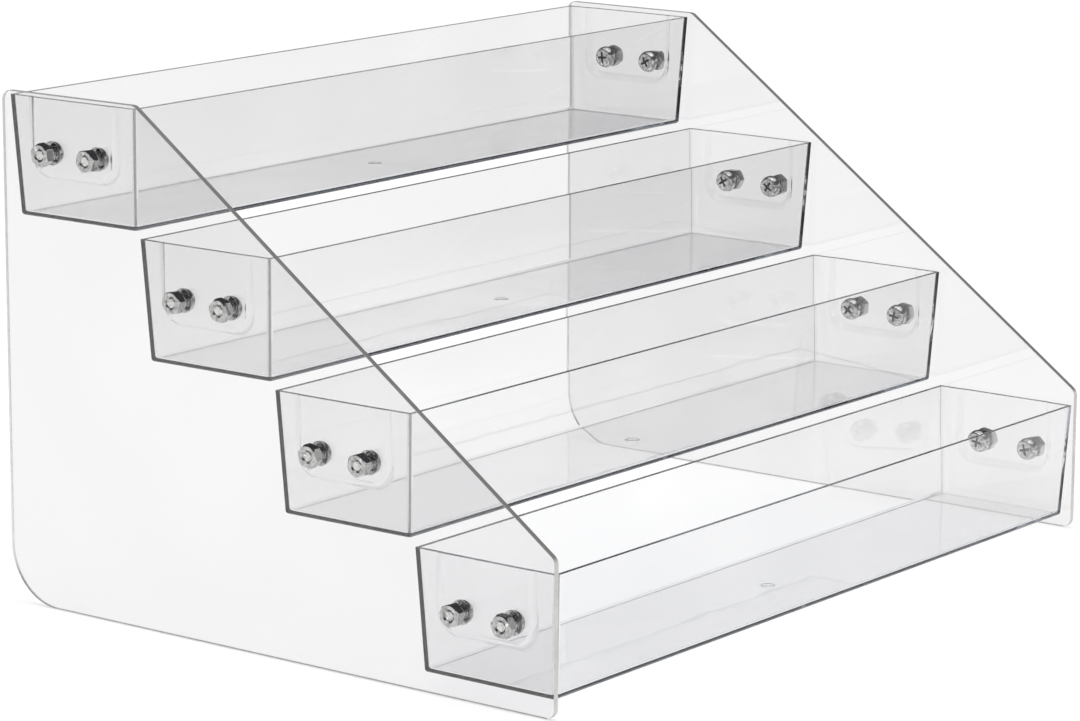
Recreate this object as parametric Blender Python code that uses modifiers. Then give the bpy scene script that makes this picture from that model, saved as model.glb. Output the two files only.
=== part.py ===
"""Tiered shelf riser: clear moulded trays bolted in steps between two clear side panels.

The frame: +X runs along the trays, -Y is the front, +Z is up. The origin lies on the ground,
midway between the panels and midway along their depth.
"""

import math

import bmesh
import bpy

MM = 0.001

# Trays: open troughs whose four walls lean inwards towards the base.
TIER_COUNT = 4
TRAY_LENGTH = 302 * MM  # over the two clamping pads
TRAY_DEPTH = 55 * MM  # over the rim, front to back
TRAY_HEIGHT = 40 * MM
TRAY_WALL = 1.2 * MM
TRAY_DRAFT = math.radians(3)
TRAY_CORNER_RADIUS = 0.5 * MM  # upright corners, outside
TRAY_INNER_CORNER_RADIUS = 0.3 * MM
TRAY_BASE_RADIUS = 1 * MM  # round the base, outside
TRAY_INNER_BASE_RADIUS = 0.3 * MM
GATE_MARK_DIAMETER = 5 * MM
GATE_MARK_DEPTH = 0.4 * MM

# Steps: the clear gaps that separate one tray from the next.
STEP_GAP_DEPTH = 1.5 * MM
STEP_GAP_HEIGHT = 1.7 * MM

# Side panels: flat sheet that follows the steps, with margins round the trays.
PANEL_THICKNESS = 2 * MM
PANEL_FOOT = 5 * MM  # below the lowest tray
PANEL_LIP = 5 * MM  # front edge, above the lowest rim
PANEL_TOP_MARGIN = 1.5 * MM
PANEL_FRONT_MARGIN = 0.5 * MM
PANEL_REAR_MARGIN = 2 * MM
PANEL_BROW = 1 * MM  # flat top, ahead of the highest rim
PANEL_CORNER_RADIUS = 3.5 * MM
PANEL_HEEL_RADIUS = 20 * MM

# Clamping pads: where a tray end stands upright against its panel.
PAD_PROUD = 0.3 * MM
PAD_SIDE_BORDER = 3 * MM  # flat beside a screw head
PAD_FOOT_BORDER = 2 * MM  # flat under a screw head
PAD_FLARE = 1.5 * MM  # how far the sides spread from the face to the wall
PAD_INNER_CORNER_RADIUS = 5 * MM

# Fasteners: M4 pan-head screws from the inside, plain hex nuts on the outside.
SCREW_DIAMETER = 4 * MM
SCREW_SPACING = 20 * MM
SCREW_DROP = 18 * MM  # axis below the rim
SCREW_TIP_RECESS = 0.3 * MM  # tip inside the nut's outer face
SCREW_TIP_CHAMFER = 0.5 * MM
HEAD_DIAMETER = 8 * MM
HEAD_HEIGHT = 2.9 * MM
HEAD_FACE_DIAMETER = 5.4 * MM  # where the dome meets the shoulder
HEAD_DOME = 0.3 * MM
RECESS_SPAN = 4.4 * MM
RECESS_WIDTH = 0.9 * MM
RECESS_DEPTH = 1.5 * MM
RECESS_TAPER = 0.45  # span at the bottom, as a share of the span at the top
NUT_WIDTH = 7 * MM  # across the flats
NUT_HEIGHT = 3.2 * MM
NUT_CHAMFER = math.radians(30)
NUT_CHAMFER_FACE = 6.6 * MM  # round face left by the chamfer

# Fits
SEAT_GAP = 0.3 * MM  # between faces that rest on each other
SHANK_CLEARANCE = 0.25 * MM  # all round a shank in its hole

# Each fastener stops at its own angle when it is tightened.
CLOCKING_STEP = math.radians(25)

# Facets
ROUND_STEPS = 16
CORNER_STEPS = 3
OUTLINE_STEP = math.radians(12)
CUT_STOCK = 2 * MM  # how far a cutter runs past what it cuts

# Worked out from the sizes above.
RIM_HALF_LENGTH = TRAY_LENGTH / 2 - PAD_PROUD
LEAN = math.tan(TRAY_DRAFT)
STEP_DEPTH = TRAY_DEPTH + STEP_GAP_DEPTH
STEP_HEIGHT = TRAY_HEIGHT + STEP_GAP_HEIGHT
PANEL_DEPTH = PANEL_FRONT_MARGIN + (TIER_COUNT - 1) * STEP_DEPTH + TRAY_DEPTH + PANEL_REAR_MARGIN
FRONT_RIM_Y = PANEL_FRONT_MARGIN - PANEL_DEPTH / 2
LOWEST_RIM_Z = PANEL_FOOT + TRAY_HEIGHT
HIGHEST_RIM_Z = LOWEST_RIM_Z + (TIER_COUNT - 1) * STEP_HEIGHT
PAD_INNER_X = TRAY_LENGTH / 2 - TRAY_WALL
PANEL_INNER_X = TRAY_LENGTH / 2 + SEAT_GAP
PANEL_OUTER_X = PANEL_INNER_X + PANEL_THICKNESS
HEAD_SEAT_X = PAD_INNER_X - SEAT_GAP
NUT_SEAT_X = PANEL_OUTER_X + SEAT_GAP
SCREW_LENGTH = NUT_SEAT_X + NUT_HEIGHT - SCREW_TIP_RECESS - HEAD_SEAT_X
HOLE_RADIUS = SCREW_DIAMETER / 2 + SHANK_CLEARANCE


def clear_scene():
    """Remove every object that the file starts with."""
    for obj in list(bpy.data.objects):
        bpy.data.objects.remove(obj, do_unlink=True)


def new_collection(name, parent):
    """Make a collection under another one."""
    collection = bpy.data.collections.new(name)
    parent.children.link(collection)
    return collection


def principled(name, colour, roughness, metallic=0.0, transmission=0.0, ior=1.5):
    """Make a plain Principled material."""
    material = bpy.data.materials.new(name)
    material.use_nodes = True
    shader = material.node_tree.nodes["Principled BSDF"]
    shader.inputs["Base Color"].default_value = (*colour, 1.0)
    shader.inputs["Roughness"].default_value = roughness
    shader.inputs["Metallic"].default_value = metallic
    shader.inputs["Transmission Weight"].default_value = transmission
    shader.inputs["IOR"].default_value = ior
    return material


def new_object(name, data, collection):
    """Link a new object into a collection."""
    obj = bpy.data.objects.new(name, data)
    collection.objects.link(obj)
    return obj


def object_from_bmesh(name, bm, collection):
    """Turn a finished bmesh into an object."""
    mesh = bpy.data.meshes.new(name)
    bm.to_mesh(mesh)
    bm.free()
    return new_object(name, mesh, collection)


def as_cutter(obj):
    """Mark an object as a guide that only shapes other pieces."""
    obj.hide_render = True
    obj.display_type = "WIRE"
    return obj


def add_boolean(obj, other, operation):
    """Join, cut or trim an object with another one."""
    boolean = obj.modifiers.new(other.name, "BOOLEAN")
    boolean.operation = operation
    boolean.solver = "EXACT"
    boolean.object = other


def baked_mesh(obj, name):
    """Return the mesh that an object's modifiers give, and remove the object."""
    bpy.context.view_layer.update()
    depsgraph = bpy.context.evaluated_depsgraph_get()
    mesh = bpy.data.meshes.new_from_object(obj.evaluated_get(depsgraph))
    mesh.name = name
    bpy.data.objects.remove(obj, do_unlink=True)
    return mesh


def shade_round(mesh, material):
    """Shade curved faces smooth, keep real edges sharp, and set the material."""
    mesh.shade_smooth()
    mesh.set_sharp_from_angle(angle=math.radians(30))
    mesh.materials.clear()
    mesh.materials.append(material)


def filleted_outline(corners):
    """Round the corners of a polygon that runs anticlockwise and turns left at each corner.

    Each corner is (x, y, radius).
    """
    points = []
    for index, (x, y, radius) in enumerate(corners):
        before = corners[index - 1]
        after = corners[(index + 1) % len(corners)]
        heading_in = math.atan2(y - before[1], x - before[0])
        heading_out = math.atan2(after[1] - y, after[0] - x)
        turn = (heading_out - heading_in) % math.tau
        if radius == 0:
            points.append((x, y))
            continue
        setback = radius * math.tan(turn / 2)
        start_x = x - setback * math.cos(heading_in)
        start_y = y - setback * math.sin(heading_in)
        centre_x = start_x - radius * math.sin(heading_in)
        centre_y = start_y + radius * math.cos(heading_in)
        steps = max(2, math.ceil(turn / OUTLINE_STEP))
        for step in range(steps + 1):
            angle = heading_in - math.pi / 2 + turn * step / steps
            points.append((centre_x + radius * math.cos(angle), centre_y + radius * math.sin(angle)))
    return points


def plate(name, outline, thickness, collection):
    """Make a flat plate from an outline in (Y, Z), as a mesh centred on X = 0."""
    curve = bpy.data.curves.new(name, "CURVE")
    curve.dimensions = "2D"
    curve.fill_mode = "BOTH"
    curve.extrude = thickness / 2
    spline = curve.splines.new("POLY")
    spline.points.add(len(outline) - 1)
    for point, (y, z) in zip(spline.points, outline):
        point.co = (y, z, 0.0, 1.0)
    spline.use_cyclic_u = True
    flat = new_object(name, curve, collection)
    flat.rotation_euler = (math.pi / 2, 0.0, math.pi / 2)
    bpy.context.view_layer.update()
    matrix = flat.matrix_world.copy()
    mesh = baked_mesh(flat, name)
    bm = bmesh.new()
    bm.from_mesh(mesh)
    bmesh.ops.remove_doubles(bm, verts=bm.verts, dist=0.001 * MM)
    bmesh.ops.transform(bm, matrix=matrix, verts=bm.verts)
    return object_from_bmesh(name, bm, collection)


def lofted(name, loops, collection):
    """Join loops of equal length into a closed block, with flat faces on the first and the last."""
    bm = bmesh.new()
    rings = [[bm.verts.new(point) for point in loop] for loop in loops]
    for low, high in zip(rings, rings[1:]):
        for index in range(len(low)):
            bm.faces.new((low[index - 1], low[index], high[index], high[index - 1]))
    bm.faces.new(rings[0])
    bm.faces.new(rings[-1])
    bmesh.ops.recalc_face_normals(bm, faces=bm.faces)
    return object_from_bmesh(name, bm, collection)


def box(name, low, high, collection):
    """Make a box from its low and high corners."""
    bm = bmesh.new()
    bmesh.ops.create_cube(bm, size=1.0)
    for vert in bm.verts:
        for axis in range(3):
            vert.co[axis] = high[axis] if vert.co[axis] > 0 else low[axis]
    return object_from_bmesh(name, bm, collection)


def rod(name, radius, length, collection):
    """Make a round bar along Z, centred on the origin."""
    bm = bmesh.new()
    bmesh.ops.create_cone(bm, cap_ends=True, segments=ROUND_STEPS, radius1=radius, radius2=radius, depth=length)
    return object_from_bmesh(name, bm, collection)


def cross_rod(name, y, z, radius, length, collection):
    """Make a round bar along X at a given height and depth, as a cutter."""
    bar = as_cutter(rod(name, radius, length, collection))
    bar.rotation_euler = (0.0, math.pi / 2, 0.0)
    bar.location = (0.0, y, z)
    return bar


def turned(name, profile, steps, collection):
    """Spin a profile of (radius, height) points, listed from top to bottom, about Z."""
    mesh = bpy.data.meshes.new(name)
    verts = [(radius, 0.0, height) for radius, height in profile]
    edges = [(index, index + 1) for index in range(len(profile) - 1)]
    mesh.from_pydata(verts, edges, [])
    obj = new_object(name, mesh, collection)
    screw = obj.modifiers.new("turn", "SCREW")
    screw.steps = steps
    screw.render_steps = steps
    screw.use_merge_vertices = True
    screw.merge_threshold = 0.001 * MM
    return obj


def screw_places():
    """Return the depth of each screw row from the middle of a tray."""
    return {"front": -SCREW_SPACING / 2, "rear": SCREW_SPACING / 2}


def trough_loop(height, inset, radius):
    """Return a rounded rectangle at a height, inset from the leaning outer skin of a tray."""
    half_length = RIM_HALF_LENGTH + height * LEAN - inset
    half_depth = TRAY_DEPTH / 2 + height * LEAN - inset
    points = []
    for quarter, (sign_x, sign_y) in enumerate(((1, 1), (-1, 1), (-1, -1), (1, -1))):
        for step in range(CORNER_STEPS + 1):
            angle = math.pi / 2 * (quarter + step / CORNER_STEPS)
            x = sign_x * (half_length - radius) + radius * math.cos(angle)
            y = sign_y * (half_depth - radius) + radius * math.sin(angle)
            points.append((x, y, height))
    return points


def base_turn(base_height, inset, radius, corner_radius):
    """Return the loops that round a tray's wall into its base, from the wall down."""
    loops = []
    for step in range(CORNER_STEPS + 1):
        angle = math.pi / 2 * step / CORNER_STEPS
        height = base_height + radius * (1 - math.sin(angle))
        loops.append(trough_loop(height, inset + radius * (1 - math.cos(angle)), corner_radius))
    return loops


def trough(collection):
    """Make the plain trough of a tray, with the rim's centre at the origin.

    The walls stand a little above the rim, and are trimmed flat afterwards.
    """
    outside = base_turn(-TRAY_HEIGHT, 0.0, TRAY_BASE_RADIUS, TRAY_CORNER_RADIUS)
    inside = base_turn(TRAY_WALL - TRAY_HEIGHT, TRAY_WALL, TRAY_INNER_BASE_RADIUS, TRAY_INNER_CORNER_RADIUS)
    loops = outside[::-1]
    loops.append(trough_loop(CUT_STOCK, 0.0, TRAY_CORNER_RADIUS))
    loops.append(trough_loop(CUT_STOCK, TRAY_WALL, TRAY_INNER_CORNER_RADIUS))
    loops += inside
    return lofted("trough", loops, collection)


def pad_outline(inset, top):
    """Return the outline of a clamping pad in (Y, Z), shrunk by an inset, up to a given height."""
    half_width = SCREW_SPACING / 2 + HEAD_DIAMETER / 2 + PAD_SIDE_BORDER + TRAY_WALL - inset
    foot = -SCREW_DROP - HEAD_DIAMETER / 2 - PAD_FOOT_BORDER - TRAY_WALL + inset
    radius = PAD_INNER_CORNER_RADIUS + TRAY_WALL - inset
    return filleted_outline([
        (-half_width, foot, radius),
        (half_width, foot, radius),
        (half_width, top, 0),
        (-half_width, top, 0),
    ])


def pad_block(side, collection):
    """Make the solid that stands a tray end upright, rooted in the middle of the leaning wall."""
    root = [
        (RIM_HALF_LENGTH - TRAY_WALL / 2 + z * LEAN, y, z) for y, z in pad_outline(-PAD_FLARE / 2, CUT_STOCK)
    ]
    face = [(TRAY_LENGTH / 2, y, z) for y, z in pad_outline(PAD_FLARE / 2, CUT_STOCK)]
    return turned_to_side(lofted("pad", [root, face], collection), side)


def pad_pocket(side, collection):
    """Make the cutter that keeps the wall even behind a clamping pad."""
    reach = TRAY_HEIGHT * LEAN + PAD_PROUD + CUT_STOCK
    mouth = [
        (PAD_INNER_X - reach, y, z) for y, z in pad_outline(TRAY_WALL - PAD_FLARE * 1.5, CUT_STOCK * 2)
    ]
    face = [(PAD_INNER_X, y, z) for y, z in pad_outline(TRAY_WALL + PAD_FLARE / 2, CUT_STOCK * 2)]
    return turned_to_side(lofted("pocket", [mouth, face], collection), side)


def turned_to_side(cutter, side):
    """Turn a cutter made for the right end of a tray to the given side."""
    if side < 0:
        cutter.rotation_euler = (0.0, 0.0, math.pi)
    return as_cutter(cutter)


def tray_mesh(material, cutters):
    """Mould one tray: a drafted trough with pads, screw holes and a gate mark under its base."""
    tray = trough(cutters)
    for side in (-1, 1):
        add_boolean(tray, pad_block(side, cutters), "UNION")
    for side in (-1, 1):
        add_boolean(tray, pad_pocket(side, cutters), "DIFFERENCE")
    for row, y in screw_places().items():
        hole = cross_rod(f"{row}_hole", y, -SCREW_DROP, HOLE_RADIUS, TRAY_LENGTH + CUT_STOCK, cutters)
        add_boolean(tray, hole, "DIFFERENCE")

    gate_mark = as_cutter(rod("gate_mark", GATE_MARK_DIAMETER / 2, 2 * GATE_MARK_DEPTH, cutters))
    gate_mark.location.z = -TRAY_HEIGHT
    add_boolean(tray, gate_mark, "DIFFERENCE")
    above_rim = box(
        "above_rim", (-TRAY_LENGTH, -TRAY_DEPTH, 0.0), (TRAY_LENGTH, TRAY_DEPTH, CUT_STOCK * 4), cutters,
    )
    add_boolean(tray, as_cutter(above_rim), "DIFFERENCE")

    mesh = baked_mesh(tray, "tray")
    shade_round(mesh, material)
    return mesh


def panel_outline():
    """Return a side panel's outline in (Y, Z): it slopes along the steps and stands on its lower edge."""
    front = -PANEL_DEPTH / 2
    rear = PANEL_DEPTH / 2
    top = HIGHEST_RIM_Z + PANEL_TOP_MARGIN
    brow = FRONT_RIM_Y + (TIER_COUNT - 1) * STEP_DEPTH - PANEL_BROW
    return filleted_outline([
        (front, 0.0, PANEL_CORNER_RADIUS),
        (rear, 0.0, PANEL_HEEL_RADIUS),
        (rear, top, PANEL_CORNER_RADIUS),
        (brow, top, PANEL_CORNER_RADIUS),
        (front, LOWEST_RIM_Z + PANEL_LIP, PANEL_CORNER_RADIUS),
    ])


def panel_mesh(material, cutters):
    """Cut one side panel from sheet, with a screw hole for every fastener."""
    panel = plate("panel", panel_outline(), PANEL_THICKNESS, cutters)
    for tier in range(TIER_COUNT):
        _, tier_y, tier_z = tier_place(tier)
        for row, y in screw_places().items():
            hole = cross_rod(
                f"panel_{row}_hole_{tier}", tier_y + y, tier_z - SCREW_DROP,
                HOLE_RADIUS, PANEL_THICKNESS + CUT_STOCK, cutters,
            )
            add_boolean(panel, hole, "DIFFERENCE")
    mesh = baked_mesh(panel, "side_panel")
    shade_round(mesh, material)
    return mesh


def screw_profile():
    """Return a screw's profile from its tip down to the middle of its head.

    The head's seat lies at height 0, its shank points up and its shoulder is a quarter ellipse.
    """
    shank = SCREW_DIAMETER / 2
    shoulder_width = (HEAD_DIAMETER - HEAD_FACE_DIAMETER) / 2
    shoulder_height = HEAD_HEIGHT - HEAD_DOME
    profile = [
        (0.0, SCREW_LENGTH),
        (shank - SCREW_TIP_CHAMFER, SCREW_LENGTH),
        (shank, SCREW_LENGTH - SCREW_TIP_CHAMFER),
        (shank, 0.0),
    ]
    for step in range(CORNER_STEPS + 1):
        angle = math.pi / 2 * step / CORNER_STEPS
        radius = HEAD_FACE_DIAMETER / 2 + shoulder_width * math.cos(angle)
        profile.append((radius, -shoulder_height * math.sin(angle)))
    profile.append((0.0, -HEAD_HEIGHT))
    return profile


def recess_wing(name, turn, collection):
    """Make one tapered wing of the cross recess in a screw head."""
    bm = bmesh.new()
    bmesh.ops.create_cube(bm, size=1.0)
    for vert in bm.verts:
        bottom = vert.co.z > 0
        span = RECESS_SPAN * (RECESS_TAPER if bottom else 1.0)
        height = RECESS_DEPTH - HEAD_HEIGHT if bottom else -HEAD_HEIGHT - HEAD_DOME
        vert.co = (vert.co.x * span, vert.co.y * RECESS_WIDTH, height)
    wing = object_from_bmesh(name, bm, collection)
    wing.rotation_euler = (0.0, 0.0, turn)
    return as_cutter(wing)


def screw_mesh(material, cutters):
    """Turn one pan-head screw and punch its cross recess."""
    screw = turned("screw", screw_profile(), ROUND_STEPS, cutters)
    for index in range(2):
        wing = recess_wing(f"recess_wing_{index}", index * math.pi / 2, cutters)
        add_boolean(screw, wing, "DIFFERENCE")
    mesh = baked_mesh(screw, "screw")
    shade_round(mesh, material)
    return mesh


def nut_mesh(material, cutters):
    """Make one hex nut on Z = 0: a hexagon, chamfered by a turned body and bored through."""
    corner_radius = NUT_WIDTH / math.sqrt(3)
    bm = bmesh.new()
    bmesh.ops.create_cone(
        bm, cap_ends=True, segments=6, radius1=corner_radius, radius2=corner_radius, depth=NUT_HEIGHT,
    )
    bmesh.ops.translate(bm, verts=bm.verts, vec=(0.0, 0.0, NUT_HEIGHT / 2))
    nut = object_from_bmesh("nut", bm, cutters)

    outer = corner_radius + CUT_STOCK
    face = NUT_CHAMFER_FACE / 2
    slope = math.tan(NUT_CHAMFER)
    chamfer = turned("nut_chamfer", [
        (0.0, NUT_HEIGHT + face * slope),
        (outer, NUT_HEIGHT + (face - outer) * slope),
        (outer, (outer - face) * slope),
        (0.0, -face * slope),
    ], ROUND_STEPS + 2, cutters)
    add_boolean(nut, as_cutter(chamfer), "INTERSECT")
    bore = as_cutter(rod("nut_bore", HOLE_RADIUS, NUT_HEIGHT + CUT_STOCK, cutters))
    bore.location.z = NUT_HEIGHT / 2
    add_boolean(nut, bore, "DIFFERENCE")
    mesh = baked_mesh(nut, "nut")
    shade_round(mesh, material)
    return mesh


def tier_place(tier):
    """Return the rim's centre of a tier, counted from the lowest one at the front."""
    return (0.0, FRONT_RIM_Y + TRAY_DEPTH / 2 + tier * STEP_DEPTH, LOWEST_RIM_Z + tier * STEP_HEIGHT)


def place_fastener(name, mesh, place, side, turn, tier_empty, collection):
    """Place a screw or a nut with its axis pointing out of the panel on its side."""
    fastener = new_object(name, mesh, collection)
    fastener.parent = tier_empty
    fastener.location = place
    fastener.rotation_mode = "ZYX"
    fastener.rotation_euler = (0.0, side * math.pi / 2, turn)


def place_tier(tier, meshes, root, collection):
    """Hang one tray between the panels with its eight fasteners."""
    empty = new_object(f"tier_{tier + 1}", None, collection)
    empty.parent = root
    empty.location = tier_place(tier)
    tray = new_object(f"tray_{tier + 1}", meshes["tray"], collection)
    tray.parent = empty

    turn = tier * CLOCKING_STEP
    for side_name, side in (("left", -1), ("right", 1)):
        for row, y in screw_places().items():
            label = f"{tier + 1}_{side_name}_{row}"
            turn += CLOCKING_STEP
            head_place = (side * HEAD_SEAT_X, y, -SCREW_DROP)
            nut_place = (side * NUT_SEAT_X, y, -SCREW_DROP)
            place_fastener(f"screw_{label}", meshes["screw"], head_place, side, turn, empty, collection)
            place_fastener(f"nut_{label}", meshes["nut"], nut_place, side, turn, empty, collection)


def place_panels(mesh, root, collection):
    """Stand the two side panels against the tray ends."""
    for side_name, side in (("left", -1), ("right", 1)):
        panel = new_object(f"side_panel_{side_name}", mesh, collection)
        panel.parent = root
        panel.location.x = side * (PANEL_INNER_X + PANEL_OUTER_X) / 2


def main():
    """Build the riser."""
    clear_scene()
    scene_collection = bpy.context.scene.collection
    parts = new_collection("tiered_shelf_riser", scene_collection)
    cutters = new_collection("cutters", scene_collection)

    sheet = principled("clear_sheet", (0.93, 0.94, 0.94), 0.04, transmission=1.0, ior=1.49)
    moulding = principled("clear_moulding", (0.90, 0.91, 0.92), 0.05, transmission=1.0, ior=1.57)
    screw_metal = principled("bright_zinc_screw", (0.78, 0.79, 0.80), 0.16, metallic=1.0)
    nut_metal = principled("bright_zinc_nut", (0.74, 0.75, 0.76), 0.20, metallic=1.0)

    meshes = {
        "tray": tray_mesh(moulding, cutters),
        "panel": panel_mesh(sheet, cutters),
        "screw": screw_mesh(screw_metal, cutters),
        "nut": nut_mesh(nut_metal, cutters),
    }
    root = new_object("riser", None, parts)
    place_panels(meshes["panel"], root, parts)
    for tier in range(TIER_COUNT):
        place_tier(tier, meshes, root, parts)


main()
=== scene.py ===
"""Looks of the tiered shelf riser: clear trays bolted in steps between two clear side panels.

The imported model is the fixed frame, in metres: +X runs along the trays, -Y is the front, +Z is up.
Every piece made here is a finer mesh that stands where its solid stands.
"""

import logging
import math
from dataclasses import dataclass, field
from enum import Enum
from typing import Callable, Iterable, Sequence

import bmesh
import bpy
from mathutils import Matrix, Vector


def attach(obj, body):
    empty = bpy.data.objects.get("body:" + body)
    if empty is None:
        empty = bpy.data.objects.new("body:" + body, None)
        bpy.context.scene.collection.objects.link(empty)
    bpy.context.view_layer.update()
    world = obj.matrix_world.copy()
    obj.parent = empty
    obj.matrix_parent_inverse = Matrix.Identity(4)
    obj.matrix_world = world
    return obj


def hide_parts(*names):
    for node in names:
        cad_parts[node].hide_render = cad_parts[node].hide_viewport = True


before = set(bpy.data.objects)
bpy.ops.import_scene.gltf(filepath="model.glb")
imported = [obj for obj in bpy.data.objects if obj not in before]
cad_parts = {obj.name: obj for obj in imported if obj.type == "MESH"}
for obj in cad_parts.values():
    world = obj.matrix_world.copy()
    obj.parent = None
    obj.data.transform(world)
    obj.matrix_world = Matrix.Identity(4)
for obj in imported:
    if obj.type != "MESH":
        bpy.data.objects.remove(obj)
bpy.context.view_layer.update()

MM = 0.001
WELD = 0.0002 * MM
FLAT_WEIGHT = 100
BODY = "root"
TRAY_HALF_LENGTH = 150.7 * MM
TRAY_HALF_DEPTH = 27.5 * MM
TRAY_LEAN = math.tan(math.radians(3))

Flat = tuple[float, float]
Point = tuple[float, float, float]
Colour = tuple[float, float, float]
Ring = list[bmesh.types.BMVert]
Level = tuple[Callable[[Flat], float], Sequence[Flat]]
Materials = tuple[bpy.types.Material, ...]

WHITE: Colour = (1.0, 1.0, 1.0)

log = logging.getLogger("riser")


class Side(Enum):
    """The two ends of a tray, by the sign of X."""

    LEFT = -1
    RIGHT = 1


class Row(Enum):
    """The two fasteners of a tray end, by the sign of Y."""

    FRONT = -1
    REAR = 1


class Cut(Enum):
    """How one mesh shapes another."""

    JOIN = "UNION"
    REMOVE = "DIFFERENCE"


# ----- Shapes -----


def arc_steps(steps: int, start: float = 0.0, turn: float = math.pi / 2) -> list[float]:
    """Return the angles of an arc.

    Args:
        steps: number of equal steps along the arc.
        start: angle of the first point.
        turn: angle that the arc covers.

    Returns:
        steps + 1 angles in radians.
    """
    return [start + turn * step / steps for step in range(steps + 1)]


def quarter_round(radius: float, steps: int, back: bool = False) -> list[Flat]:
    """Return the points of a quarter round, as their distances from the two lines that it joins.

    Args:
        radius: radius of the round.
        steps: number of equal steps along it.
        back: run from the second line to the first.

    Returns:
        steps + 1 pairs of distances.
    """
    angles = arc_steps(steps, math.pi / 2, -math.pi / 2) if back else arc_steps(steps)
    return [(radius * (1 - math.sin(angle)), radius * (1 - math.cos(angle))) for angle in angles]


def rounded_outline(corners: Sequence[Point], step: float) -> list[Flat]:
    """Round the corners of an anticlockwise polygon that turns left everywhere.

    Args:
        corners: (x, y, radius) of each corner.
        step: largest turn between two points of an arc, in radians.

    Returns:
        The points of the rounded outline.
    """
    points: list[Flat] = []
    for index, (x, y, radius) in enumerate(corners):
        before, after = corners[index - 1], corners[(index + 1) % len(corners)]
        heading = math.atan2(y - before[1], x - before[0])
        turn = (math.atan2(after[1] - y, after[0] - x) - heading) % math.tau
        if radius == 0:
            points.append((x, y))
            continue
        setback = radius * math.tan(turn / 2)
        middle_x = x - setback * math.cos(heading) - radius * math.sin(heading)
        middle_y = y - setback * math.sin(heading) + radius * math.cos(heading)
        for angle in arc_steps(max(2, math.ceil(turn / step)), heading - math.pi / 2, turn):
            points.append((middle_x + radius * math.cos(angle), middle_y + radius * math.sin(angle)))
    return points


def shrunk(outline: Sequence[Flat], inset: float) -> list[Flat]:
    """Move an anticlockwise outline inwards by a small inset, square to its edges.

    Args:
        outline: points of the outline.
        inset: distance that every edge moves.

    Returns:
        As many points, moved.
    """
    moved = []
    for index, (x, y) in enumerate(outline):
        normals = []
        for start, end in ((outline[index - 1], (x, y)), ((x, y), outline[(index + 1) % len(outline)])):
            along = Vector((end[0] - start[0], end[1] - start[1])).normalized()
            normals.append(Vector((-along.y, along.x)))
        mitre = (normals[0] + normals[1]) / (1 + normals[0].dot(normals[1]))
        moved.append((x + inset * mitre.x, y + inset * mitre.y))
    return moved


def circle(radius: float, steps: int, centre: Flat = (0.0, 0.0)) -> list[Flat]:
    """Return the points of a circle, anticlockwise."""
    turns = (math.tau * step / steps for step in range(steps))
    return [(centre[0] + radius * math.cos(t), centre[1] + radius * math.sin(t)) for t in turns]


class MeshMaker:
    """Builds one closed mesh from rings of vertices."""

    def __init__(self) -> None:
        """Start with an empty mesh."""
        self.bm = bmesh.new()

    def ring(self, points: Iterable[Sequence[float]]) -> Ring:
        """Add a ring of vertices and return it."""
        return [self.bm.verts.new(point) for point in points]

    def turned(self, angles: Sequence[float], radii: Iterable[float], height: float) -> Ring:
        """Add a ring round Z, with one radius for each angle, and return it."""
        return self.ring((r * math.cos(a), r * math.sin(a), height) for a, r in zip(angles, radii))

    def bridge(self, low: Ring, high: Ring, material: int = 0) -> None:
        """Join two rings of equal length with a band of faces."""
        for index in range(len(low)):
            face = self.bm.faces.new((low[index - 1], low[index], high[index], high[index - 1]))
            face.material_index = material

    def bridge_all(self, rings: Sequence[Ring], material: int = 0) -> None:
        """Join each ring to the next one."""
        for low, high in zip(rings, rings[1:]):
            self.bridge(low, high, material)

    def cap(self, ring: Ring) -> None:
        """Close a ring with one flat face."""
        self.bm.faces.new(ring)

    def fan(self, ring: Ring, tip: Sequence[float]) -> None:
        """Close a ring with triangles that meet in a point."""
        middle = self.bm.verts.new(tip)
        for index in range(len(ring)):
            self.bm.faces.new((ring[index - 1], ring[index], middle))

    def fill(self, *loops: Ring) -> None:
        """Fill a flat face that one ring bounds and further rings pierce."""
        edges = []
        for loop in loops:
            for index in range(len(loop)):
                pair = (loop[index - 1], loop[index])
                edges.append(self.bm.edges.get(pair) or self.bm.edges.new(pair))
        bmesh.ops.triangle_fill(self.bm, use_beauty=True, use_dissolve=False, edges=edges)

    def mesh(self, name: str) -> bpy.types.Mesh:
        """Return the finished mesh with its faces turned outwards."""
        bmesh.ops.recalc_face_normals(self.bm, faces=self.bm.faces)
        mesh = bpy.data.meshes.new(name)
        self.bm.to_mesh(mesh)
        self.bm.free()
        return mesh


def prism(name: str, levels: Sequence[Level], mirror: int = 1) -> bpy.types.Mesh:
    """Stack outlines in (Y, Z) along X into a closed block.

    Args:
        name: name of the mesh.
        levels: for each level, its X as a function of the point, and its anticlockwise outline.
        mirror: 1, or -1 for the mirror image in X.

    Returns:
        The closed mesh.
    """
    maker = MeshMaker()
    rings = [maker.ring((mirror * place(point), *point) for point in points) for place, points in levels]
    maker.bridge_all(rings)
    maker.cap(rings[0])
    maker.cap(rings[-1])
    return maker.mesh(name)


def put(name: str, data: bpy.types.ID) -> bpy.types.Object:
    """Add an object to the scene and return it."""
    item = bpy.data.objects.new(name, data)
    bpy.context.scene.collection.objects.link(item)
    return item


def baked(item: bpy.types.Object) -> bpy.types.Mesh:
    """Return a new mesh of an object, as its modifiers shape it."""
    bpy.context.view_layer.update()
    return bpy.data.meshes.new_from_object(item.evaluated_get(bpy.context.evaluated_depsgraph_get()))


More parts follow.
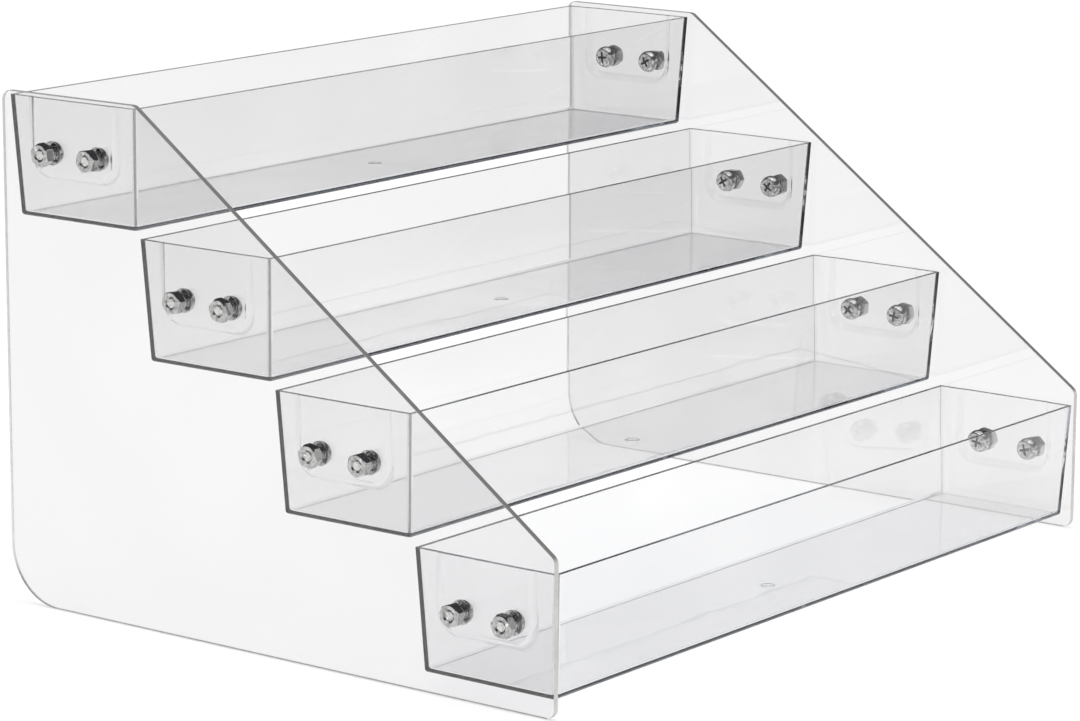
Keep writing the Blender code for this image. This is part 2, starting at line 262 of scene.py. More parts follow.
def carved(name: str, mesh: bpy.types.Mesh, tools: Sequence[tuple[Cut, bpy.types.Mesh]]) -> bpy.types.Mesh:
    """Join meshes to a mesh and cut others out of it.

    Args:
        name: name of the result.
        mesh: the mesh that is shaped.
        tools: what each tool does, and its mesh.

    Returns:
        The shaped mesh.
    """
    blank = put(name, mesh)
    helpers = []
    for cut, tool in tools:
        helpers.append(put(tool.name, tool))
        modifier = blank.modifiers.new(tool.name, "BOOLEAN")
        modifier.operation = cut.value
        modifier.solver = "EXACT"
        modifier.object = helpers[-1]
    result = baked(blank)
    result.name = name
    for spent in [blank, *helpers]:
        bpy.data.objects.remove(spent, do_unlink=True)
    welder = bmesh.new()
    welder.from_mesh(result)
    bmesh.ops.remove_doubles(welder, verts=welder.verts, dist=WELD)
    welder.to_mesh(result)
    welder.free()
    return result


def dressed(mesh: bpy.types.Mesh, materials: Sequence[bpy.types.Material]) -> bpy.types.Mesh:
    """Give a mesh its materials, in slot order, and return it."""
    for material in materials:
        mesh.materials.append(material)
    return mesh


def polished(mesh: bpy.types.Mesh, sharp: float) -> bpy.types.Mesh:
    """Shade a mesh so that flats stay flat and rounds stay round.

    Args:
        mesh: the mesh to shade.
        sharp: edges with a larger angle than this stay sharp, in radians.

    Returns:
        The shaded mesh, with its normals kept.
    """
    mesh.shade_smooth()
    mesh.set_sharp_from_angle(angle=sharp)
    name = mesh.name
    holder = put(name, mesh)
    weighing = holder.modifiers.new("flats", "WEIGHTED_NORMAL")
    weighing.keep_sharp = True
    weighing.weight = FLAT_WEIGHT
    result = baked(holder)
    bpy.data.objects.remove(holder, do_unlink=True)
    bpy.data.meshes.remove(mesh)
    result.name = name
    return result


def set_piece(name: str, mesh: bpy.types.Mesh, place: Matrix, node: str) -> bpy.types.Object:
    """Stand a piece in for its solid.

    Args:
        name: name of the new piece.
        mesh: its mesh.
        place: where its own origin goes, in the shared frame.
        node: the solid that it stands for.

    Returns:
        The placed piece.
    """
    piece = put(name, mesh)
    piece.matrix_world = place
    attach(piece, BODY)
    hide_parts(node)
    log.info("%s stands for %s, %d faces", name, node, len(mesh.polygons))
    return piece


# ----- Finishes -----


class NodeDesk:
    """Adds nodes to one tree and links them."""

    def __init__(self, tree: bpy.types.NodeTree) -> None:
        """Take the tree to work on."""
        self.tree = tree

    def add(self, kind: str, values: dict | None = None, **settings: object) -> bpy.types.Node:
        """Add a node.

        Args:
            kind: Blender's name of the node type.
            values: input name or number to a plain value, or to the socket that feeds it.
            settings: properties of the node.

        Returns:
            The new node.
        """
        node = self.tree.nodes.new(kind)
        for key, value in settings.items():
            setattr(node, key, value)
        for key, value in (values or {}).items():
            if isinstance(value, bpy.types.NodeSocket):
                self.tree.links.new(value, node.inputs[key])
            else:
                node.inputs[key].default_value = value
        return node

    def maths(self, operation: str, *terms: object, clamp: bool = False) -> bpy.types.NodeSocket:
        """Add a Math node and return its result."""
        node = self.add("ShaderNodeMath", dict(enumerate(terms)), operation=operation, use_clamp=clamp)
        return node.outputs[0]

    def blend(self, share: object, low: object, high: object) -> bpy.types.NodeSocket:
        """Mix two colours and return the result."""
        node = self.add("ShaderNodeMix", {0: share, 6: low, 7: high}, data_type="RGBA")
        return node.outputs[2]

    def noise(self, place: bpy.types.NodeSocket, scale: object, detail: float) -> bpy.types.NodeSocket:
        """Add a noise texture and return its value."""
        node = self.add("ShaderNodeTexNoise", {"Vector": place, "Scale": scale, "Detail": detail})
        return node.outputs["Fac"]

    def ramp(self, value: bpy.types.NodeSocket, low: float, high: float,
             start: float = 0.0, end: float = 1.0) -> bpy.types.NodeSocket:
        """Map a value smoothly from one range to another and return the result."""
        node = self.add(
            "ShaderNodeMapRange",
            {"Value": value, "From Min": low, "From Max": high, "To Min": start, "To Max": end},
            interpolation_type="SMOOTHSTEP",
        )
        return node.outputs["Result"]


def opaque(colour: Colour) -> tuple[float, float, float, float]:
    """Return a colour with full alpha."""
    return (*colour, 1.0)


def new_group(name: str, inputs: dict[str, float],
              outputs: Sequence[str]) -> tuple[NodeDesk, bpy.types.Node, bpy.types.Node]:
    """Start a shader node group that takes a place on the surface and some values.

    Args:
        name: name of the group.
        inputs: name and usual value of each number that goes in.
        outputs: names of the numbers that come out.

    Returns:
        The desk of the group, its input node and its output node.
    """
    tree = bpy.data.node_groups.new(name, "ShaderNodeTree")
    tree.interface.new_socket("Place", in_out="INPUT", socket_type="NodeSocketVector")
    for label, value in inputs.items():
        socket = tree.interface.new_socket(label, in_out="INPUT", socket_type="NodeSocketFloat")
        socket.default_value = value
    for label in outputs:
        tree.interface.new_socket(label, in_out="OUTPUT", socket_type="NodeSocketFloat")
    desk = NodeDesk(tree)
    return desk, desk.add("NodeGroupInput"), desk.add("NodeGroupOutput")


def feed(desk: NodeDesk, end: bpy.types.Node, **values: bpy.types.NodeSocket) -> None:
    """Link values to the outputs of a group, by name."""
    for label, value in values.items():
        desk.tree.links.new(value, end.inputs[label])


# Clear plastic: how fine and weak the quick waves are, how scratches stretch, where marks begin and end.
QUICK_SCALE, QUICK_SHARE = 3.7, 0.12
SCRATCH_STRETCH: Point = (0.04, 1.0, 0.6)
SCRATCHES: Flat = (0.66, 0.78)
SPECKS: Flat = (0.05, 0.16)
HAZE_PATCHES: Flat = (0.52, 0.75)
HAZE_PATCH_SCALE, HAZE_PATCH_SHARE = 55.0, 0.15
CLOUDS: Flat = (0.3, 0.7)
# where the painted shade on faces that look up begins and ends
TOP_SHADE_RAMP: Flat = (0.2, 0.75)

# Plated steel: how drawn marks stretch and how strong they are, where patches and the painted highlights on
# sharp edges begin and end.
DRAWN_STRETCH: Point = (1.0, 1.0, 7.0)
DRAWN_SHARE = 1.5
PLATE_PATCHES: Flat = (0.35, 0.7)
EDGE_GLINT_RAMP: Flat = (0.53, 0.62)


def clear_surface_group() -> bpy.types.NodeTree:
    """Make the surface of clear plastic: slow waves, thin haze, fine scratches and specks of dust.

    Returns:
        The node group.
    """
    desk, start, end = new_group(
        "clear_surface", {"Wave Scale": 40.0, "Scratch Scale": 600.0, "Speck Scale": 900.0},
        ("Wave", "Haze", "Cloud"),
    )
    place = start.outputs["Place"]
    slow = desk.noise(place, start.outputs["Wave Scale"], 1.0)
    quick = desk.noise(place, desk.maths("MULTIPLY", start.outputs["Wave Scale"], QUICK_SCALE), 0.0)
    wave = desk.maths("ADD", slow, desk.maths("MULTIPLY", quick, QUICK_SHARE))

    stretch = desk.add("ShaderNodeMapping", {"Vector": place, "Scale": SCRATCH_STRETCH})
    lines = desk.noise(stretch.outputs["Vector"], start.outputs["Scratch Scale"], 3.0)
    scratch = desk.ramp(lines, *SCRATCHES)
    specks = desk.add("ShaderNodeTexVoronoi", {"Vector": place, "Scale": start.outputs["Speck Scale"]})
    speck = desk.ramp(specks.outputs["Distance"], *SPECKS, 1.0, 0.0)
    patch = desk.ramp(desk.noise(place, HAZE_PATCH_SCALE, 3.0), *HAZE_PATCHES)
    marks = desk.maths("MULTIPLY", desk.maths("MAXIMUM", scratch, speck), patch)
    haze = desk.maths("ADD", marks, desk.maths("MULTIPLY", patch, HAZE_PATCH_SHARE), clamp=True)
    feed(desk, end, Wave=wave, Haze=haze, Cloud=desk.ramp(slow, *CLOUDS))
    return desk.tree


def plated_surface_group() -> bpy.types.NodeTree:
    """Make the surface of plated steel: fine grain, drawn marks, patches and painted highlights on sharp
    edges.

    Returns:
        The node group.
    """
    desk, start, end = new_group(
        "plated_surface", {"Grain Scale": 9000.0, "Patch Scale": 900.0}, ("Grain", "Patch", "Wear"),
    )
    place = start.outputs["Place"]
    grain = desk.noise(place, start.outputs["Grain Scale"], 2.0)
    squeezed = desk.add("ShaderNodeMapping", {"Vector": place, "Scale": DRAWN_STRETCH})
    drawn = desk.noise(squeezed.outputs["Vector"], start.outputs["Patch Scale"], 4.0)
    both = desk.maths("ADD", grain, desk.maths("MULTIPLY", drawn, DRAWN_SHARE))
    patch = desk.ramp(desk.noise(place, start.outputs["Patch Scale"], 3.0), *PLATE_PATCHES)
    # Painted highlight: sharp edges, found by pointiness, turn brighter in patches.
    corners = desk.add("ShaderNodeNewGeometry").outputs["Pointiness"]
    glint = desk.maths("MULTIPLY", desk.ramp(corners, *EDGE_GLINT_RAMP), patch)
    feed(desk, end, Grain=both, Patch=patch, Wear=glint)
    return desk.tree


def start_material(name: str, surface: bpy.types.NodeTree) -> tuple[
        bpy.types.Material, NodeDesk, bpy.types.NodeSocket, bpy.types.Node]:
    """Start a material whose marks lie elsewhere on every piece.

    Args:
        name: name of the material.
        surface: the shared group that makes the marks.

    Returns:
        The material, its desk, the place on the piece, and the node of the marks.
    """
    material = bpy.data.materials.new(name)
    material.use_nodes = True
    material.node_tree.nodes.clear()
    desk = NodeDesk(material.node_tree)
    spot = desk.add("ShaderNodeTexCoord").outputs["Object"]
    chance = desk.add("ShaderNodeObjectInfo").outputs["Random"]
    place = desk.add("ShaderNodeVectorMath", {0: spot, 1: chance}, operation="ADD").outputs[0]
    return material, desk, spot, desk.add("ShaderNodeGroup", {"Place": place}, node_tree=surface)


@dataclass(frozen=True)
class PaintedEdgeShade:
    """Painted shade on a tray's rim and outer upright corners: a dark tint that stands in for the darkness
    where light stays in the plastic.
    """

    tint: Colour
    reach: float = 0.55 * MM
    rim: float = 0.2 * MM

    def mask(self, desk: NodeDesk, spot: bpy.types.NodeSocket) -> bpy.types.NodeSocket:
        """Mark where the painted shade goes: the rim and the corners.

        Args:
            desk: the tree to work in.
            spot: the place on the tray, from its rim's centre.

        Returns:
            1 on the rim and on the corners seen from outside, 0 elsewhere.
        """
        parts = desk.add("ShaderNodeSeparateXYZ", {0: spot}).outputs
        gaps = []
        for axis, half in (("X", TRAY_HALF_LENGTH), ("Y", TRAY_HALF_DEPTH)):
            wall = desk.maths("MULTIPLY_ADD", parts["Z"], TRAY_LEAN, half)
            gaps.append(desk.maths("SUBTRACT", wall, desk.maths("ABSOLUTE", parts[axis])))
        corner = desk.maths("LESS_THAN", desk.maths("MAXIMUM", *gaps), self.reach)
        inside = desk.add("ShaderNodeNewGeometry").outputs["Backfacing"]
        corner = desk.maths("SUBTRACT", corner, inside, clamp=True)
        rim = desk.maths("GREATER_THAN", parts["Z"], -self.rim)
        return desk.maths("MAXIMUM", corner, rim)


@dataclass(frozen=True)
class ClearFinish:
    """Finish of a clear plastic surface, which may carry painted shade on faces that look up and on a tray's
    rim and corners.
    """

    name: str
    tint: Colour
    dense_tint: Colour
    bend: float
    polish: float
    haze: float
    wave_scale: float
    wave_depth: float
    through: Colour
    inside: Colour
    depth: float
    clarity: float = 1.0
    # painted shade on faces that look up, if any
    painted_top_shade: Colour | None = None
    # painted shade on a tray's rim and outer upright corners, if any
    edge: PaintedEdgeShade | None = None

    def material(self, surface: bpy.types.NodeTree) -> bpy.types.Material:
        """Build the material.

        Args:
            surface: the shared group for clear surfaces.

        Returns:
            Clear plastic that bends light and lets lamps through.
        """
        material, desk, spot, marks = start_material(self.name, surface)
        marks.inputs["Wave Scale"].default_value = self.wave_scale
        bump = desk.add("ShaderNodeBump", {"Height": marks.outputs["Wave"], "Distance": self.wave_depth})
        tint = desk.blend(marks.outputs["Cloud"], opaque(self.tint), opaque(self.dense_tint))
        # Painted shade: faces that look up get a darker tint, for how light falls on them.
        if self.painted_top_shade:
            facing = desk.add("ShaderNodeNewGeometry").outputs["Normal"]
            top_shade_mask = desk.ramp(desk.add("ShaderNodeSeparateXYZ", {0: facing}).outputs["Z"], *TOP_SHADE_RAMP)
            tint = desk.blend(top_shade_mask, tint, opaque(self.painted_top_shade))
        # Painted shade: a dark tint on the rim and the outer corners, for the light that stays in the
        # plastic.
        if self.edge:
            tint = desk.blend(self.edge.mask(desk, spot), tint, opaque(self.edge.tint))
        rough = desk.ramp(marks.outputs["Haze"], 0.0, 1.0, self.polish, self.haze)
        plastic = desk.add(
            "ShaderNodeBsdfPrincipled",
            {"Base Color": tint, "Roughness": rough, "Normal": bump.outputs["Normal"],
             "IOR": self.bend, "Transmission Weight": self.clarity},
        )
        clear = desk.add("ShaderNodeBsdfTransparent", {"Color": opaque(self.through)})
        ray = desk.add("ShaderNodeLightPath")
        light = desk.maths("MAXIMUM", ray.outputs["Is Shadow Ray"], ray.outputs["Is Diffuse Ray"])
        mixed = desk.add("ShaderNodeMixShader", {0: light, 1: plastic.outputs[0], 2: clear.outputs[0]})
        body = desk.add("ShaderNodeVolumeAbsorption", {"Color": opaque(self.inside), "Density": self.depth})
        desk.add("ShaderNodeOutputMaterial", {"Surface": mixed.outputs[0], "Volume": body.outputs[0]})
        return material


@dataclass(frozen=True)
class PlatedFinish:
    """Finish of a bright plated steel fastener."""

    name: str
    bright: Colour
    dull: Colour
    # colour of the painted highlight on sharp edges
    edge_glint: Colour
    smooth: float
    rough: float
    grain_depth: float

    def material(self, surface: bpy.types.NodeTree) -> bpy.types.Material:
        """Build the material.

        Args:
            surface: the shared group for plated surfaces.

        Returns:
            Plated metal with grain, patches and painted highlights on its sharp edges.
        """
        material, desk, _, marks = start_material(self.name, surface)
        bump = desk.add("ShaderNodeBump", {"Height": marks.outputs["Grain"], "Distance": self.grain_depth})
        plate = desk.blend(marks.outputs["Patch"], opaque(self.bright), opaque(self.dull))
        # Painted highlight: a brighter colour on sharp edges.
        colour = desk.blend(marks.outputs["Wear"], plate, opaque(self.edge_glint))
        rough = desk.ramp(marks.outputs["Patch"], 0.0, 1.0, self.smooth, self.rough)
        metal = desk.add(
            "ShaderNodeBsdfPrincipled",
            {"Base Color": colour, "Roughness": rough, "Normal": bump.outputs["Normal"], "Metallic": 1.0},
        )
        desk.add("ShaderNodeOutputMaterial", {"Surface": metal.outputs[0]})
        return material


SHEET = ClearFinish(
    name="clear_sheet", tint=(0.885, 0.88, 0.885), dense_tint=(0.865, 0.86, 0.865), bend=1.49,
    polish=0.0, haze=0.10, wave_scale=14.0, wave_depth=0.02 * MM, through=(0.997, 0.997, 0.997),
    inside=(0.86, 0.86, 0.86), depth=25.0,
)
# The cut edge's faces that look up carry a painted shade.
SHEET_EDGE = ClearFinish(
    name="cut_sheet_edge", tint=(0.86, 0.85, 0.82), dense_tint=(0.76, 0.75, 0.72), bend=1.49,
    polish=0.30, haze=0.5, wave_scale=900.0, wave_depth=0.02 * MM, through=(0.98, 0.98, 0.98),
    inside=(0.86, 0.86, 0.86), depth=25.0, clarity=0.35, painted_top_shade=(0.27, 0.265, 0.255),
)
# The moulding carries a painted shade on its rim and outer upright corners.
MOULDING = ClearFinish(
    name="clear_moulding", tint=(0.977, 0.974, 0.973), dense_tint=(0.953, 0.951, 0.951), bend=1.57,
    polish=0.0, haze=0.10, wave_scale=22.0, wave_depth=0.10 * MM, through=(0.997, 0.997, 0.997),
    inside=(0.74, 0.77, 0.82), depth=50.0, edge=PaintedEdgeShade(tint=(0.17, 0.17, 0.175)),
)
SCREW_PLATE = PlatedFinish(
    name="bright_zinc_screw", bright=(0.70, 0.70, 0.69), dull=(0.32, 0.32, 0.32), edge_glint=(0.95, 0.95, 0.94),
    smooth=0.03, rough=0.12, grain_depth=0.0006 * MM,
)
# The screw's cross recess is painted near black: a painted shade, for the shade inside the recess.
RECESS_SHADE = PlatedFinish(
    name="dark_recess", bright=(0.05, 0.05, 0.05), dull=(0.02, 0.02, 0.02), edge_glint=(0.2, 0.2, 0.2),
    smooth=0.3, rough=0.5, grain_depth=0.004 * MM,
)
NUT_PLATE = PlatedFinish(
    name="bright_zinc_nut", bright=(0.56, 0.56, 0.55), dull=(0.24, 0.24, 0.235), edge_glint=(0.95, 0.95, 0.94),
    smooth=0.03, rough=0.13, grain_depth=0.0006 * MM,
)


# ----- Pieces -----


@dataclass
class Thread:
    """A coarse metric thread round Z, as a radius that varies over angle and height."""

    pitch: float = 0.7 * MM
    crest: float = 1.98 * MM
    root: float = 1.60 * MM
    root_share: float = 0.16
    crest_share: float = 0.80
    rows_per_turn: int = 10

    def radius(self, angle: float, height: float) -> float:
        """Return the thread's radius at an angle and a height."""
        phase = (height / self.pitch - angle / math.tau) % 1.0
        flank = abs(phase - 0.5) * 2
        share = min(1.0, max(0.0, (flank - self.root_share) / (self.crest_share - self.root_share)))
        return self.root + (self.crest - self.root) * share

    def rows(self, start: float, end: float) -> list[float]:
        """Return the heights of the rows that draw the thread between two heights."""
        count = max(2, round((end - start) / self.pitch * self.rows_per_turn))
        return [start + (end - start) * row / count for row in range(count + 1)]


@dataclass
class SidePanel:
    """A flat side panel, cut from clear sheet, with its outline in (Y, Z)."""

    thickness: float = 2 * MM
    depth: float = 227 * MM
    top: float = 171.6 * MM
    lip: float = 50 * MM
    brow: float = 55.5 * MM
    corner: float = 3.5 * MM
    heel: float = 20 * MM
    edge_round: float = 0.15 * MM
    edge_steps: int = 2
    hole: float = 2.25 * MM
    hole_steps: int = 48
    outline_step: float = math.radians(4)
    sharp: float = math.radians(50)
    materials: Materials = ()

    def outline(self) -> list[Flat]:
        """Return the outline of the panel, anticlockwise."""
        front, rear = -self.depth / 2, self.depth / 2
        return rounded_outline([
            (front, 0.0, self.corner), (rear, 0.0, self.heel), (rear, self.top, self.corner),
            (self.brow, self.top, self.corner), (front, self.lip, self.corner),
        ], self.outline_step)

    def levels(self) -> list[tuple[float, float]]:
        """Return (X, inset) of the rings that carry the panel's edge from face to face."""
        half = self.thickness / 2
        outward = [(half - drop, inset) for drop, inset in quarter_round(self.edge_round, self.edge_steps)]
        return [(-x, inset) for x, inset in reversed(outward)] + outward

    def build(self, places: Sequence[Flat]) -> bpy.types.Mesh:
        """Build the panel.

        Args:
            places: (Y, Z) of each screw hole.

        Returns:
            The mesh, centred on X = 0.
        """
        maker = MeshMaker()
        outline = self.outline()
        loops = []
        for points, sign in [(outline, 1)] + [(circle(self.hole, self.hole_steps, at), -1) for at in places]:
            rings = [maker.ring((x, *p) for p in shrunk(points, sign * inset)) for x, inset in self.levels()]
            maker.bridge_all(rings, material=1)
            loops.append((rings[0], rings[-1]))
        maker.fill(*[low for low, _ in loops])
        maker.fill(*[high for _, high in loops])
        return polished(dressed(maker.mesh("side_panel"), self.materials), self.sharp)


@dataclass
class Tray:
    """A moulded tray: a drafted trough with two clamping pads, its rim's centre at the origin."""

    half_length: float = TRAY_HALF_LENGTH
    half_depth: float = TRAY_HALF_DEPTH
    height: float = 40 * MM
    wall: float = 1.2 * MM
    lean: float = TRAY_LEAN
    corner: float = 0.5 * MM
    inner_corner: float = 0.8 * MM
    base: float = 1 * MM
    inner_base: float = 0.9 * MM
    rim_round: float = 0.12 * MM
    pad_face: float = 151 * MM
    pad_half_width: float = 18.2 * MM
    pad_foot: float = -25.2 * MM
    pad_corner: float = 6.2 * MM
    pad_flare: float = 3 * MM
    pad_sink: float = 0.02 * MM  # how far the flank starts inside the wall
    pocket_reach: float = 6 * MM
    pad_top: float = -0.02 * MM
    pad_steps: int = 12
    pad_turn: float = math.radians(6)
    hole: float = 2.25 * MM
    overshoot: float = 4 * MM  # how far the cutters pass the rim and the pads
    gate_radius: float = 2.5 * MM
    gate_depth: float = 0.4 * MM
    gate_taper: float = 0.93
    gate_dish: float = 0.2
    corner_steps: int = 6
    fillet_steps: int = 8
    rim_steps: int = 3
    round_steps: int = 48
    sharp: float = math.radians(35)
    materials: Materials = ()

    def loop(self, height: float, inset: float, radius: float) -> list[Point]:
        """Return a rounded rectangle at a height, inset from the leaning outer wall."""
        a = self.half_length + height * self.lean - inset
        b = self.half_depth + height * self.lean - inset
        points = []
        for quarter, (sx, sy) in enumerate(((1, 1), (-1, 1), (-1, -1), (1, -1))):
            for angle in arc_steps(self.corner_steps, quarter * math.pi / 2):
                x = sx * (a - radius) + radius * math.cos(angle)
                y = sy * (b - radius) + radius * math.sin(angle)
                points.append((x, y, height))
        return points

    def profile(self) -> list[Point]:
        """Return (height, inset, corner radius) of each ring, from the base over the rim to the floor."""
        floor = self.wall - self.height
        rings = [(rise - self.height, inset, self.corner)
                 for rise, inset in quarter_round(self.base, self.fillet_steps, back=True)]
        rings += [(-drop, inset, self.corner - inset)
                  for drop, inset in quarter_round(self.rim_round, self.rim_steps)]
        rings += [(-drop, self.wall - inset, self.inner_corner + inset)
                  for drop, inset in quarter_round(self.rim_round, self.rim_steps, back=True)]
        rings += [(floor + rise, self.wall + inset, self.inner_corner)
                  for rise, inset in quarter_round(self.inner_base, self.fillet_steps)]
        return rings

    def trough(self) -> bpy.types.Mesh:
        """Return the plain trough with the round gate mark under its base."""
        maker = MeshMaker()
        rings = [maker.ring(self.loop(*row)) for row in self.profile()]
        maker.bridge_all(rings)
        maker.cap(rings[-1])
        rim = maker.ring((*p, -self.height) for p in circle(self.gate_radius, self.round_steps))
        deep = -self.height + self.gate_depth
        inner = maker.ring((*p, deep) for p in circle(self.gate_radius * self.gate_taper, self.round_steps))
        maker.fill(rings[0], rim)
        maker.bridge(rim, inner)
        maker.fan(inner, (0.0, 0.0, deep - self.gate_dish * self.gate_depth))
        return maker.mesh("trough")

    def pad_outline(self, inset: float, top: float) -> list[Flat]:
        """Return the outline of a clamping pad in (Y, Z), shrunk by an inset, up to a height."""
        half, foot, radius = self.pad_half_width - inset, self.pad_foot + inset, self.pad_corner - inset
        corners = [(-half, foot, radius), (half, foot, radius), (half, top, 0), (-half, top, 0)]
        return rounded_outline(corners, self.pad_turn)

    def flank(self, back: float, top: float) -> list[Level]:
        """Return the levels of the soft step from the leaning wall to a pad's upright face.

        Args:
            back: how far the step stands back, towards the middle of the tray.
            top: height at which the levels end.

        Returns:
            For each level, its X as a function of the point, and its outline.
        """
        levels = []
        for step in range(self.pad_steps + 1):
            share = step / self.pad_steps
            rise = share * share * (3 - 2 * share)

            def place(point: Flat, rise: float = rise) -> float:
                wall = self.half_length + point[1] * self.lean - self.pad_sink
                return wall * (1 - rise) + self.pad_face * rise - back

            levels.append((place, self.pad_outline(self.pad_flare * (share - 0.5), top)))
        return levels

    def pad(self, side: Side) -> bpy.types.Mesh:
        """Return the block that stands one end upright, rooted inside the leaning wall."""
        levels = self.flank(0.0, self.pad_top)
        place, outline = levels[0]
        root = (lambda point: place(point) - self.wall / 2, outline)
        return prism(f"pad_{side.name}", [root, *levels], side.value)

    def pocket(self, side: Side) -> bpy.types.Mesh:
        """Return the cutter that keeps the wall even behind a pad."""
        levels = self.flank(self.wall, self.overshoot)
        place, outline = levels[0]
        mouth = (lambda point: place(point) - self.pocket_reach, outline)
        return prism(f"pocket_{side.name}", [mouth, *levels], side.value)

    def build(self, places: Sequence[Flat]) -> bpy.types.Mesh:
        """Build the tray.

        Args:
            places: (Y, Z) of each screw hole, from the rim's centre.

        Returns:
            The finished mesh.
        """
        tools = [(Cut.JOIN, self.pad(side)) for side in Side]
        reach = self.pad_face + self.overshoot
        for index, place in enumerate(places):
            ring = circle(self.hole, self.round_steps, place)
            ends = [(lambda _: -reach, ring), (lambda _: reach, ring)]
            tools.append((Cut.REMOVE, prism(f"hole_{index}", ends)))
        tools += [(Cut.REMOVE, self.pocket(side)) for side in Side]
        return polished(carved("tray", dressed(self.trough(), self.materials), tools), self.sharp)


@dataclass
class Screw:
    """A pan-head screw along Z: its head's seat lies at height 0 and its shank points up."""

    length: float = 7 * MM
    tip_radius: float = 1.45 * MM
    head_radius: float = 4 * MM
    head_height: float = 2.9 * MM
    face_radius: float = 2.7 * MM
    dome: float = 0.3 * MM
    edge: float = 0.15 * MM
    recess_span: float = 4.4 * MM
    recess_width: float = 0.9 * MM
    recess_depth: float = 1.5 * MM
    recess_taper: float = 0.45
    recess_draft: float = 0.22
    recess_soft: float = 0.25 * MM
    recess_tip: float = 0.25 * MM
    recess_lead: float = 0.4 * MM
    recess_levels: tuple[float, ...] = (-0.27, 0.0, 0.5, 1.0)
    wing_flat: float = 0.6  # this and the next two shape a wing's end, in shares of its half width
    wing_bulge: float = 0.15
    wing_shoulder: float = 0.5
    inner_bend: float = 0.3
    around: int = 48
    crown_steps: int = 10
    dome_steps: int = 5
    sharp: float = math.radians(32)
    thread: Thread = field(default_factory=Thread)
    materials: Materials = ()

    def body(self) -> bpy.types.Mesh:
        """Return the threaded shank and the head, without the recess."""
        maker = MeshMaker()
        angles = [math.tau * step / self.around for step in range(self.around)]
        rings = []
        for height in reversed(self.thread.rows(0.0, self.length)):
            limit = self.tip_radius + (self.length - height)
            radii = [min(limit, self.thread.radius(angle, height)) for angle in angles]
            rings.append(maker.turned(angles, radii, height))
        maker.fan(rings[0], (0.0, 0.0, self.length))
        outline = [(self.head_radius - self.edge, 0.0), (self.head_radius, -self.edge)]
        crown = self.head_height - self.dome - self.edge
        for angle in arc_steps(self.crown_steps)[1:]:
            radius = self.face_radius + (self.head_radius - self.face_radius) * math.cos(angle)
            outline.append((radius, -self.edge - crown * math.sin(angle)))
        for step in range(self.dome_steps - 1, 0, -1):
            share = step / self.dome_steps
            outline.append((self.face_radius * share, -self.head_height + self.dome * share * share))
        for radius, height in outline:
            rings.append(maker.turned(angles, [radius] * self.around, height))
        maker.bridge_all(rings)
        maker.fan(rings[-1], (0.0, 0.0, -self.head_height))
        return maker.mesh("screw_body")

    def cross(self, span: float, width: float) -> list[Flat]:
        """Return the outline of a cross with rounded wing ends and rounded inner corners."""
        half, arm = width / 2, span / 2
        flat, shoulder = half * self.wing_flat, arm - half * self.wing_shoulder
        root, bend = half + self.recess_soft, half + self.recess_soft * self.inner_bend
        quarter = [
            (arm, -flat), (arm + half * self.wing_bulge, 0.0), (arm, flat), (shoulder, half),
            (root, half), (bend, bend), (half, root), (half, shoulder),
        ]
        points = []
        for turn in range(4):
            c, s = math.cos(turn * math.pi / 2), math.sin(turn * math.pi / 2)
            points += [(x * c - y * s, x * s + y * c) for x, y in quarter]
        return points

    def recess(self) -> bpy.types.Mesh:
        """Return the cutter of the cross recess."""
        maker = MeshMaker()
        low = -self.head_height - self.recess_lead
        rings = []
        for share in self.recess_levels:
            span = self.recess_span * (1 - (1 - self.recess_taper) * share)
            width = self.recess_width * (1 - self.recess_draft * share)
            height = max(low, -self.head_height + self.recess_depth * share)
            rings.append(maker.ring((*p, height) for p in self.cross(span, width)))
        maker.bridge_all(rings)
        maker.cap(rings[0])
        maker.fan(rings[-1], (0.0, 0.0, -self.head_height + self.recess_depth + self.recess_tip))
        # The recess walls take the second slot, the painted shade.
        for face in maker.bm.faces:
            face.material_index = 1
        return maker.mesh("cross_recess")

    def build(self) -> bpy.types.Mesh:
        """Build the screw and return its mesh."""
        body, recess = dressed(self.body(), self.materials), dressed(self.recess(), self.materials)
        return polished(carved("screw", body, [(Cut.REMOVE, recess)]), self.sharp)


